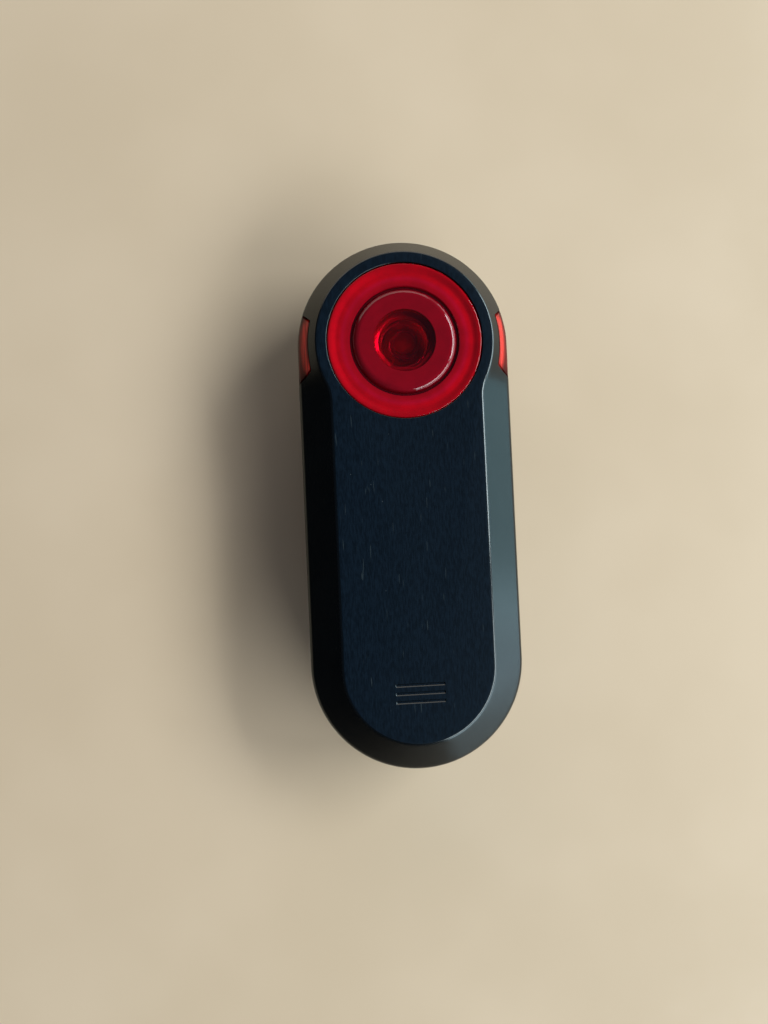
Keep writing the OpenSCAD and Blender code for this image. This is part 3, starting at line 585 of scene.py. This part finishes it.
def product(tree, *values):
    """All the values multiplied."""
    result = values[0]
    for value in values[1:]:
        result = maths(tree, "MULTIPLY", result, value)
    return result


def blend(tree, part, a, b):
    """Colour between a and b, on the Mix node's sockets for colours."""
    socket_a, socket_b, socket_out = 6, 7, 2
    made = add(tree, "Mix", data_type="RGBA")
    feed(tree, made.inputs["Factor"], part)
    feed(tree, made.inputs[socket_a], a)
    feed(tree, made.inputs[socket_b], b)
    return made.outputs[socket_out]


def bump(tree, shader, height, distance, strength=1.0):
    """Bump of the given height in millimetres on a shader."""
    made = add(tree, "Bump", {"Height": height, "Distance": distance * MM, "Strength": strength})
    feed(tree, shader.inputs["Normal"], made.outputs["Normal"])


def mix_with(tree, shader, part, other):
    """Sends a mix of the shader and another one to the material's surface."""
    mixed = add(tree, "MixShader", {"Fac": part})
    tree.links.new(shader.outputs["BSDF"], mixed.inputs[1])
    tree.links.new(other.outputs["BSDF"], mixed.inputs[2])
    tree.links.new(mixed.outputs["Shader"], tree.nodes["Material Output"].inputs["Surface"])


def rgb(r, g, b):
    """Colour for a node's socket."""
    return (r, g, b, 1.0)


# Materials

def mottled(name, dark, light, rough, size, relief, stretch=(1, 1, 1), **sockets):
    """Plain moulded or rolled surface: two close tones, uneven gloss and a fine relief."""
    material, tree, shader = new_material(name, {k.replace("_", " "): v for k, v in sockets.items()})
    broad = even_noise(tree, size * 12, stretch=stretch, detail=3)
    fine = noise(tree, size, stretch)
    feed(tree, shader.inputs["Base Color"], blend(tree, broad, rgb(*dark), rgb(*light)))
    feed(tree, shader.inputs["Roughness"], remap(tree, fine, 0.25, 0.75, rough[0], rough[1]))
    bump(tree, shader, fine, relief)
    return material


def dust_specks(tree):
    """Small dots of dust, far apart."""
    cells = add(tree, "TexVoronoi", {"Vector": object_place(tree), "Scale": 560.0})
    dot = remap(tree, cells.outputs["Distance"], 0.03, 0.08, 1.0, 0.0)
    chance = add(tree, "SeparateColor", {"Color": cells.outputs["Color"]}).outputs["Red"]
    return product(tree, dot, remap(tree, chance, 0.9, 0.92))


def panel_edge(tree, up):
    """Rounded edge of the panel, found by its height and tilt."""
    height = axis_of(tree, object_place(tree), "Z")
    near_top = remap(tree, height, (front_z - edge_r) * MM, (front_z - 0.8 * edge_r) * MM)
    return product(tree, near_top, remap(tree, up, 0.98, 0.995, 1.0, 0.0))


def shell_plastic():
    """Blue-black satin plastic: hairlines, scratches and dust on the panel, and a glossy panel edge."""
    gloss = {"Specular IOR Level": 0.3, "Specular Tint": rgb(0.85, 0.96, 1.0), "Coat Roughness": 0.08}
    material, tree, shader = new_material("shell_plastic", gloss)
    up = axis_of(tree, add(tree, "NewGeometry").outputs["Normal"], "Z")
    flat = remap(tree, up, 0.96, 0.995)
    hair = noise(tree, 0.2, (1, 6, 1), 3)
    grain = noise(tree, 0.16)
    cloud = even_noise(tree, 6, detail=4)
    strokes = remap(tree, hair, 0.3, 0.7)
    moulded = blend(tree, cloud, rgb(0.0015, 0.0020, 0.0026), rgb(0.0026, 0.0034, 0.0042))
    brushed = blend(tree, strokes, rgb(0.0004, 0.0028, 0.0070), rgb(0.0034, 0.0088, 0.0172))
    scratch = product(tree, remap(tree, noise(tree, 0.35, (1, 14, 1), 0), 0.79, 0.83), flat)
    used = blend(tree, scratch, blend(tree, flat, moulded, brushed), rgb(0.022, 0.030, 0.036))
    dust = product(tree, dust_specks(tree), flat)
    feed(tree, shader.inputs["Base Color"], blend(tree, dust, used, rgb(0.05, 0.06, 0.07)))
    feed(tree, shader.inputs["Coat Weight"], product(tree, panel_edge(tree, up), 0.6))
    satin = maths(tree, "ADD", remap(tree, grain, 0.25, 0.75, 0.18, 0.24), product(tree, flat, 0.16))
    feed(tree, shader.inputs["Roughness"], satin)
    off_panel = maths(tree, "SUBTRACT", 1.0, flat)
    relief = maths(tree, "ADD", product(tree, hair, flat), product(tree, grain, off_panel))
    bump(tree, shader, relief, 0.006)
    return material


def let_lamps_through(tree, shader, tint):
    """Lets lamps shine through a clear piece with a tint."""
    path = add(tree, "LightPath").outputs["Is Shadow Ray"]
    mix_with(tree, shader, path, add(tree, "BsdfTransparent", {"Color": tint}))


def from_lens_axis(tree):
    """Place across the lens axis."""
    moved = add(tree, "VectorMath", {0: object_place(tree), 1: (0, -lens_y * MM, 0)}, operation="ADD")
    level = {0: moved.outputs["Vector"], 1: (1, 1, 0)}
    return add(tree, "VectorMath", level, operation="MULTIPLY").outputs["Vector"]


def lens_radius(tree):
    """Distance from the lens axis, in metres."""
    return add(tree, "VectorMath", {0: from_lens_axis(tree)}, operation="LENGTH").outputs["Value"]


def frosted_red():
    """Red lens with a frosted back: bands of tone by radius under a polished face, partly its own tone and
    partly painted light, with painted shade at the centre's rounded edge and in the groove and a painted
    pinkish reflection band on the ring.
    """
    material, tree, shader = new_material("lens_frosted", {"IOR": 1.49, "Transmission Weight": 0.12})
    ramp = add(tree, "ValToRGB", {"Fac": remap(tree, lens_radius(tree), clear_r * MM, lens_r * MM)})
    stops = ramp.color_ramp.elements
    stops[0].color = rgb(0.28, 0.002, 0.009)
    stops[1].color = rgb(0.52, 0.001, 0.007)
    # How far each band lies outside the edge of the raised centre, and its tone; the dark bands at the
    # centre's edge and in the groove are painted shade, and the pinkish band on the ring is a painted
    # reflection
    tone_and_painted_shade_bands = (
        (-0.9, (0.29, 0.002, 0.010)), (-0.4, (0.15, 0.001, 0.005)), (0.05, (0.18, 0.001, 0.006)),
        (0.25, (0.03, 0.0004, 0.001)), (0.45, (0.36, 0.002, 0.010)), (1.5, (0.46, 0.002, 0.010)),
        (2.4, (0.56, 0.003, 0.022)), (3.2, (0.62, 0.001, 0.008)))
    for out, tone in tone_and_painted_shade_bands:
        stops.new((centre_r + out - clear_r) / (lens_r - clear_r)).color = rgb(*tone)
    cloud = even_noise(tree, 3, 0.0, 0.25, detail=3)
    tone = blend(tree, cloud, ramp.outputs["Color"], rgb(0.12, 0.002, 0.006))
    feed(tree, shader.inputs["Base Color"], tone)
    feed(tree, shader.inputs["Roughness"], even_noise(tree, 0.8, 0.03, 0.07))
    return material


def clear_plastic(name, tones, tone_size, rough, rough_size, tint):
    """Clear moulded plastic: two close tones, uneven polish, and lamps shining through with a tint."""
    material, tree, shader = new_material(name, {"IOR": 1.49, "Transmission Weight": 1.0})
    cloud = even_noise(tree, tone_size)
    feed(tree, shader.inputs["Base Color"], blend(tree, cloud, rgb(*tones[0]), rgb(*tones[1])))
    feed(tree, shader.inputs["Roughness"], even_noise(tree, rough_size, rough[0], rough[1]))
    let_lamps_through(tree, shader, rgb(*tint))
    return material


def clear_red():
    """Clear red plastic, polished."""
    tones = ((0.64, 0.012, 0.09), (0.70, 0.016, 0.10))
    return clear_plastic("lens_clear", tones, 2, (0.01, 0.03), 0.8, (0.62, 0.015, 0.04))


def clear_optic(name, rough):
    """Clear optic plastic with its roughness between two values."""
    tones = ((0.93, 0.95, 0.96), (0.97, 0.98, 0.98))
    return clear_plastic(name, tones, 2, rough, 0.5, (0.9, 0.92, 0.93))


def window_plastic_painted_light():
    """Red window plastic: a painted streaked sheen along its middle, and painted shade towards its edges and
    ends.
    """
    material, tree, shader = new_material("window_plastic_painted_light", {"Specular IOR Level": 0.14})
    radius = lens_radius(tree)
    along = maths(tree, "ABSOLUTE", axis_of(tree, from_lens_axis(tree), "Y"))
    inner = remap(tree, radius, (half_w - 2.2) * MM, (half_w - 1.7) * MM)
    outer = remap(tree, radius, (half_w - 1.3) * MM, (half_w - 0.5) * MM, 1.0, 0.12)
    ends = remap(tree, along, 3.6 * MM, 6.0 * MM, 1.0, 0.15)
    painted_sheen_streaks = remap(tree, noise(tree, 0.3, (1, 40, 40), 1), 0.35, 0.65, 0.5, 1.0)
    # Painted sheen and shade: the window is painted light red along its middle, standing in for the sheen of
    # light on it, and painted dark towards its edges and ends
    lit = product(tree, inner, outer, ends, painted_sheen_streaks)
    tone = blend(tree, lit, rgb(0.03, 0.0005, 0.0005), rgb(0.86, 0.045, 0.035))
    feed(tree, shader.inputs["Base Color"], tone)
    feed(tree, shader.inputs["Roughness"], even_noise(tree, 0.8, 0.06, 0.12))
    return material


def funnel_with_painted_highlight():
    """Metal film on the funnel: dull grey, with a painted highlight on its left that stands in for the glint
    of the lamps.
    """
    material, tree, shader = new_material("funnel_film_painted_highlight", {"Metallic": 1.0})
    way = add(tree, "VectorMath", {0: from_lens_axis(tree)}, operation="NORMALIZE").outputs["Vector"]
    bearing = math.radians(188)
    middle = (math.cos(bearing), math.sin(bearing), 0)
    facing = add(tree, "VectorMath", {0: way, 1: middle}, operation="DOT_PRODUCT").outputs["Value"]
    cloud = even_noise(tree, 1.2)
    film = blend(tree, cloud, rgb(0.85, 0.84, 0.83), rgb(0.92, 0.91, 0.90))
    # Painted highlight: the film is light only where the funnel faces left, towards bearing 188 degrees,
    # standing in for the glint of the lamps on the right
    bright = remap(tree, facing, 0.80, 0.93)
    feed(tree, shader.inputs["Base Color"], blend(tree, bright, rgb(0.50, 0.49, 0.48), film))
    feed(tree, shader.inputs["Roughness"], even_noise(tree, 0.4, 0.28, 0.38))
    return material


shell = shell_plastic()
window = window_plastic_painted_light()
clear = clear_optic("optic_plastic", (0.06, 0.16))
white = mottled("white_plastic", (0.76, 0.75, 0.72), (0.83, 0.82, 0.80), (0.3, 0.42), 0.2, 0.003)
grey_cup = mottled("cup_plastic", (0.46, 0.44, 0.52), (0.64, 0.62, 0.70), (0.25, 0.4), 0.2, 0.004)

# Material of each slot in the record
SLOTS = {
    "shell_black": shell,
    "window_red": window,
    "optic_clear": clear,
    "white_plastic": white,
    "rubber_black": mottled(
        "rubber", (0.009, 0.0095, 0.0105), (0.014, 0.0145, 0.0155), (0.62, 0.8), 0.12, 0.012),
    "steel": mottled(
        "steel", (0.50, 0.51, 0.53), (0.62, 0.63, 0.65), (0.22, 0.4), 0.08, 0.002, (30, 1, 1), Metallic=1.0),
    "board_white": mottled(
        "board_white", (0.70, 0.70, 0.67), (0.78, 0.78, 0.75), (0.35, 0.5), 0.15, 0.004),
    "board_green": mottled(
        "board_green", (0.010, 0.075, 0.035), (0.016, 0.10, 0.05), (0.3, 0.45), 0.15, 0.006),
    "chip_black": mottled(
        "chip_black", (0.014, 0.014, 0.015), (0.024, 0.024, 0.026), (0.5, 0.7), 0.1, 0.006),
    "led_yellow": mottled(
        "led_yellow", (0.72, 0.55, 0.12), (0.82, 0.66, 0.2), (0.3, 0.45), 0.15, 0.004),
    "copper": mottled(
        "copper", (0.62, 0.33, 0.16), (0.75, 0.43, 0.22), (0.25, 0.4), 0.1, 0.002, Metallic=1.0),
    "cell_grey": mottled(
        "cell_foil", (0.34, 0.36, 0.38), (0.45, 0.47, 0.49), (0.28, 0.42), 0.4, 0.02, Metallic=0.8),
    "foam_grey": mottled(
        "foam", (0.05, 0.052, 0.055), (0.09, 0.092, 0.095), (0.85, 0.95), 0.25, 0.08),
    "flex_amber": mottled(
        "flex_film", (0.42, 0.16, 0.03), (0.52, 0.22, 0.05), (0.25, 0.4), 0.3, 0.004, (1, 20, 1)),
}


# Pieces

front_shell(shell)
side_window(1, window)
side_window(-1, window)
red_lens(frosted_red(), clear_red())
reflector_bowl(white)
reflector_cup(grey_cup, funnel_with_painted_highlight())
optic(clear, clear_optic("optic_frosted", (0.5, 0.6)))

replaced = {"front_housing", "side_lens_left", "side_lens_right", "main_lens", "reflector", "collimator_lens"}
for part in frame["record"]["subparts"]:
    if part["node"] not in replaced:
        mesh = frame["nodes"][part["node"]].data
        mesh.materials.clear()
        mesh.materials.append(SLOTS[part["material_slot"]])


# Stage, light and camera

def floor_material():
    """Pale warm table top, seen only from above."""
    material, tree, shader = new_material("floor_pale", {"Specular IOR Level": 0.2})
    cloud = even_noise(tree, 60, detail=3)
    feed(tree, shader.inputs["Base Color"], blend(tree, cloud, rgb(0.77, 0.56, 0.385), rgb(0.83, 0.61, 0.43)))
    feed(tree, shader.inputs["Roughness"], even_noise(tree, 3, 0.5, 0.6))
    mix_with(tree, shader, add(tree, "NewGeometry").outputs["Backfacing"], add(tree, "BsdfTransparent"))
    return material


def make_floor():
    """Square table top under the object."""
    reach = 1400
    corners = [(-reach, -reach, 0), (reach, -reach, 0), (reach, reach, 0), (-reach, reach, 0)]
    piece = make_object("floor", corners, [[0, 1, 2, 3]])
    piece.data.materials.append(floor_material())


def make_world():
    """Dim room: darker overhead and to the left, lighter along the horizon and to the right."""
    world = bpy.data.worlds.new("room")
    bpy.context.scene.world = world
    world.use_nodes = True
    tree = world.node_tree
    way = add(tree, "SeparateXYZ", {"Vector": add(tree, "TexCoord").outputs["Generated"]})
    lit = maths(tree, "ADD", way.outputs["X"], product(tree, way.outputs["Y"], 0.4))
    horizon = blend(tree, remap(tree, lit, -0.5, 1.0), rgb(0.025, 0.025, 0.025), rgb(0.60, 0.64, 0.66))
    sky = blend(tree, remap(tree, way.outputs["Z"], 0.05, 0.7), horizon, rgb(0.04, 0.062, 0.09))
    feed(tree, tree.nodes["Background"].inputs["Color"], sky)


def softbox(name, azimuth, elevation, width, height, brightness, colour):
    """Panel of light that faces the object; brightness is what a mirror would show of it."""
    distance = 1.6
    turn, rise = math.radians(azimuth), math.radians(elevation)
    lamp = bpy.data.lights.new(name, "AREA")
    lamp.shape = "RECTANGLE"
    lamp.size = width
    lamp.size_y = height
    lamp.energy = brightness * math.pi * width * height
    lamp.color = colour
    panel = bpy.data.objects.new(name, lamp)
    towards = Vector((math.cos(turn) * math.cos(rise), math.sin(turn) * math.cos(rise), math.sin(rise)))
    panel.location = towards * distance
    panel.rotation_euler = towards.to_track_quat("Z", "Y").to_euler()
    panel.visible_camera = False
    bpy.context.scene.collection.objects.link(panel)


def window_light(side, azimuth, width, pane, sill, sill_colour):
    """Window pane with a bright low sill under it, at one bearing."""
    pane_rise, pane_height, pane_colour = 32, 0.45, (0.84, 0.97, 1.0)
    sill_turn, sill_rise, sill_width, sill_height = 2, 8, 1.98, 0.35
    softbox("window_" + side, azimuth, pane_rise, width, pane_height, pane, pane_colour)
    softbox("sill_" + side, azimuth + sill_turn, sill_rise, sill_width, sill_height, sill, sill_colour)


def make_camera():
    """Camera above the object, at the place and angle fitted to the photograph's outlines."""
    camera = bpy.data.objects.new("camera", bpy.data.cameras.new("camera"))
    camera.location = Vector((-9.80, -3.08, 129.01)) * MM
    camera.rotation_euler = Euler([math.radians(a) for a in (1.012, -2.388, -2.568)])
    camera.data.sensor_width = 36
    camera.data.lens = 21.47
    camera.data.clip_start = 0.01
    bpy.context.scene.collection.objects.link(camera)
    bpy.context.scene.camera = camera


make_floor()
make_world()
window_light("near", 20, 1.2, 13.0, 2.8, (0.52, 0.92, 1.0))
window_light("far", -41, 1.62, 8.0, 4.2, (0.66, 0.90, 1.0))
softbox("wall_warm", 100, 20, 2.18, 0.73, 1.2, (1.0, 0.94, 0.86))
make_camera()
bpy.context.scene.view_settings.view_transform = "Standard"
